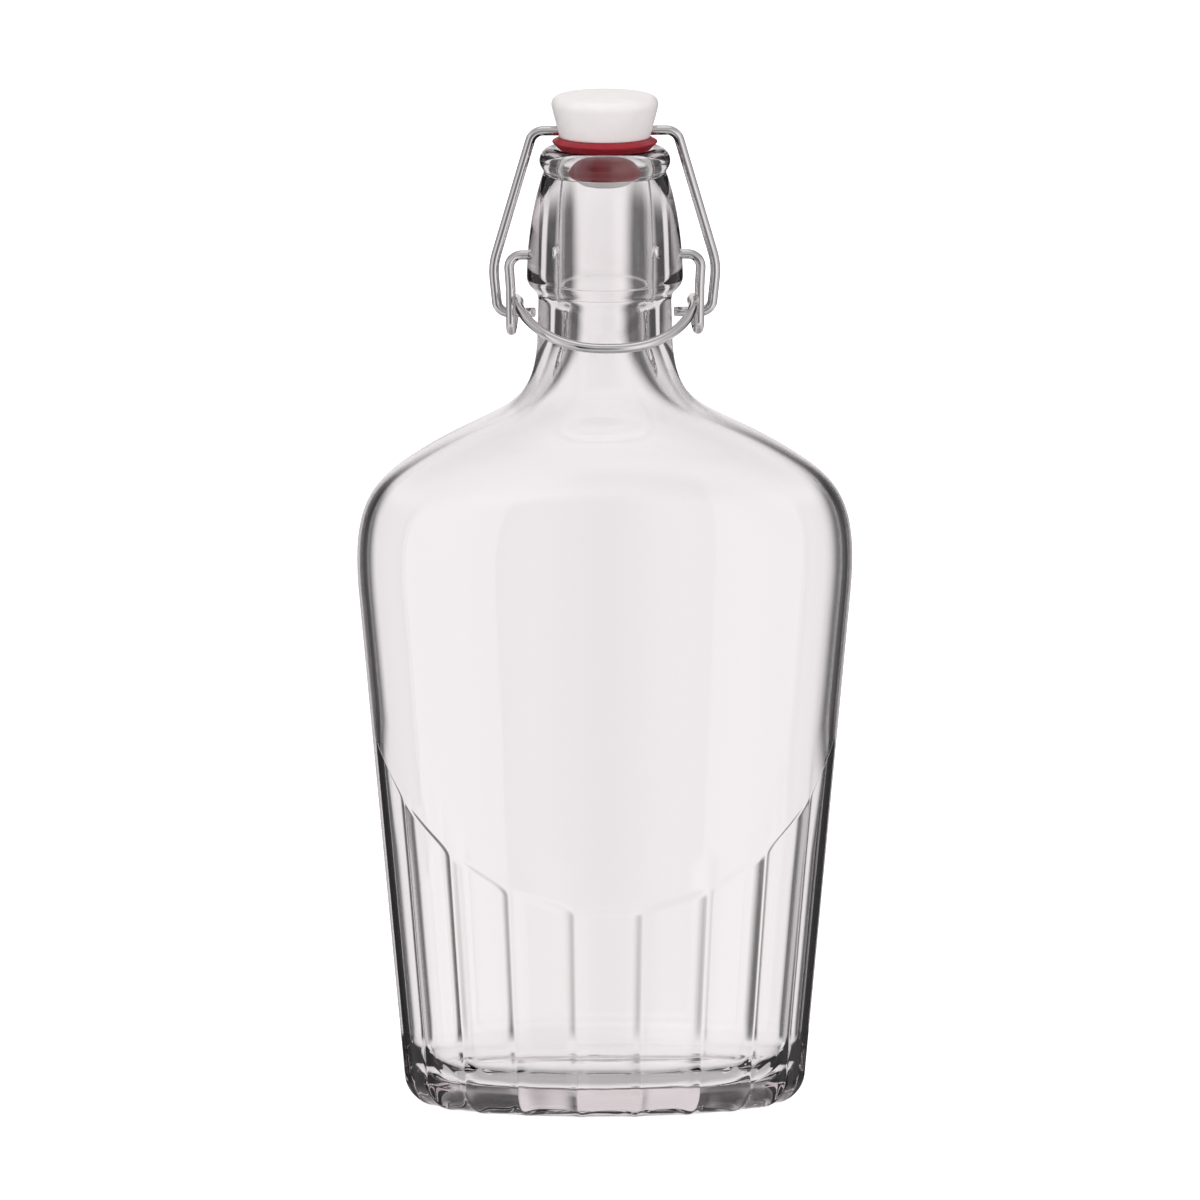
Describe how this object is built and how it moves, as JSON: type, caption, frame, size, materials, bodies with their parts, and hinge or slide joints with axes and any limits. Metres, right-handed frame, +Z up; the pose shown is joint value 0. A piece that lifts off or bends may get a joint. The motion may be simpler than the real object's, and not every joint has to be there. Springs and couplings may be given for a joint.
{
  "type": "swing-top flask growler",
  "caption": "Clear glass flask-shaped bottle with a fluted foot and a wire swing-top closure: a white stopper with a red gasket on a sprung bail and lever.",
  "frame": {"origin": "middle of the foot, on the surface that the bottle stands on", "axes": "+Z up along the neck, +X across the flask's width along the closure's pivots, -Y to the front, where the finger loop is"},
  "size_m": [0.1092, 0.0616, 0.2258],
  "materials": {
    "clear_glass": "clear flint glass, fire-polished, with soft mould ripples",
    "spring_wire": "drawn steel wire, bright, with fine lengthwise draw lines",
    "white_stopper": "moulded white plastic, satin to semi-gloss",
    "red_rubber": "soft red rubber, matt"
  },
  "bodies": {
    "bottle": {"bottle": "clear_glass"},
    "lever": {"lever_wire": "spring_wire"},
    "bail": {"bail_wire": "spring_wire"},
    "stopper": {"stopper": "white_stopper", "gasket": "red_rubber"}
  },
  "joints": [
    {"name": "lever_swing", "type": "hinge", "parent": "bottle", "child": "lever", "pos_m": [0, 0, 0.1897], "axis": [-1, 0, 0], "range_deg": [0, 135]},
    {"name": "bail_swing", "type": "hinge", "parent": "lever", "child": "bail", "pos_m": [0, 0.0008, 0.1768], "axis": [-1, 0, 0], "range_deg": [-97.5, 0]},
    {"name": "stopper_tilt", "type": "hinge", "parent": "bail", "child": "stopper", "pos_m": [0, 0, 0.2173], "axis": [-1, 0, 0], "range_deg": [-38, 0]}
  ],
  "couplings": [
    {"joint": "bail_swing", "follows": "lever_swing", "ratio": -0.72},
    {"joint": "stopper_tilt", "follows": "lever_swing", "ratio": -0.28}
  ]
}
